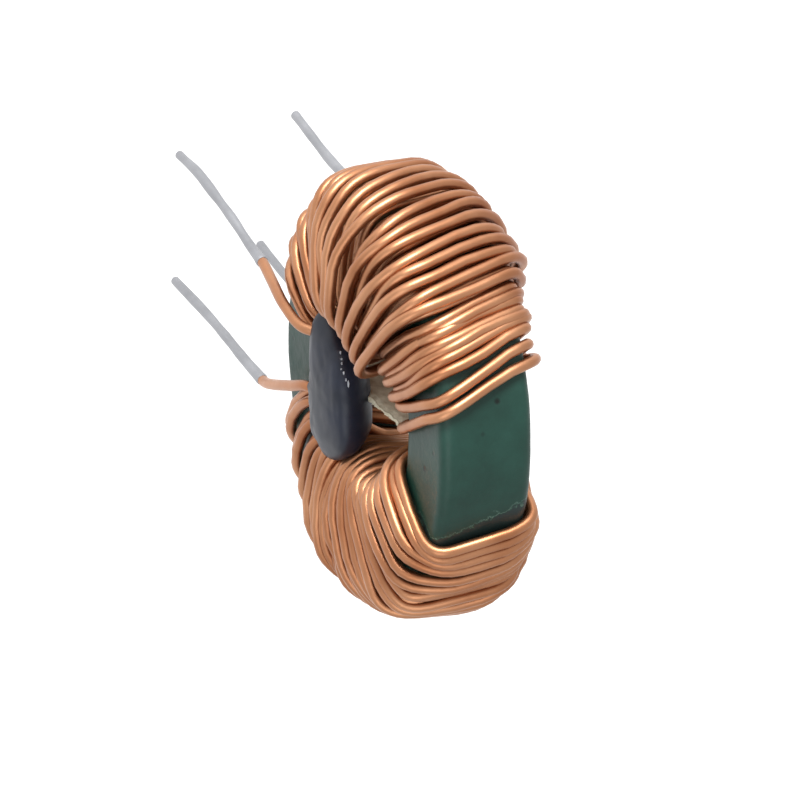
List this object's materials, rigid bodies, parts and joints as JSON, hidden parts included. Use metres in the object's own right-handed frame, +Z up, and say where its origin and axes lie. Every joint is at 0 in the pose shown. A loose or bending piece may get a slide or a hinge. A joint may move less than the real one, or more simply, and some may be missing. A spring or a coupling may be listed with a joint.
{
  "type": "toroidal inductor",
  "caption": "Upright toroidal choke: coated ferrite ring, paired copper windings in two layers, divider card and tinned leads for a circuit board.",
  "frame": {"origin": "middle of the rectangle of four leads, on the plane of the board where the straight tinned ends begin", "axes": "+Z up from the board, leads point down -Z; +Y to the back along the ring's axis, the front face with the glue looks along -Y; +X to the right"},
  "size_m": [0.0294, 0.012, 0.0516],
  "materials": {
    "ferrite": "matt",
    "coating": "satin powder epoxy",
    "copper": "enamelled copper",
    "solder": "bright tin",
    "card": "matt fibre",
    "glue": "gloss"
  },
  "bodies": {
    "root": {"ferrite_core": "ferrite", "core_coating": "coating", "winding_left": "copper", "winding_right": "copper", "tin_front_left": "solder", "tin_front_right": "solder", "tin_back_left": "solder", "tin_back_right": "solder", "divider_card": "card", "glue": "glue"}
  },
  "joints": []
}
